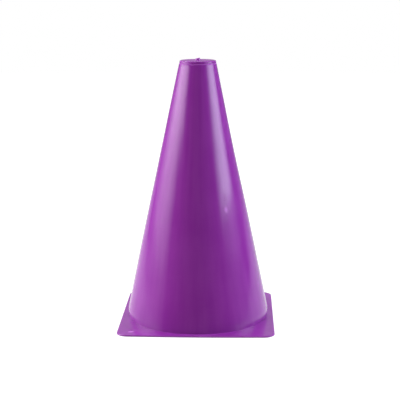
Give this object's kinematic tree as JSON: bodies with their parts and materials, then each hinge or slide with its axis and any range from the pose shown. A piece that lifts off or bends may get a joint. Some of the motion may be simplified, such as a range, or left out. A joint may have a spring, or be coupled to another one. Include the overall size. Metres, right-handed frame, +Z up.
{
  "type": "soccer training cone",
  "caption": "Hollow tapered training cone in purple plastic with a closed rounded top and a thin square foot plate with rounded corners, open underneath.",
  "frame": {"origin": "on the cone's axis at the ground, the middle of the foot plate's underside", "axes": "+Z up along the cone's axis, +X and +Y square to the sides of the foot plate"},
  "size_m": [0.136, 0.136, 0.2321],
  "materials": {
    "plate_plastic": "moulded, glossy",
    "wall_plastic": "moulded, soft gloss",
    "cap_plastic": "moulded, soft gloss",
    "stub_plastic": "sheared off, dull"
  },
  "bodies": {
    "root": {"foot_plate": "plate_plastic", "cone_wall": "wall_plastic", "top_cap": "cap_plastic", "gate_stub": "stub_plastic"}
  },
  "joints": []
}
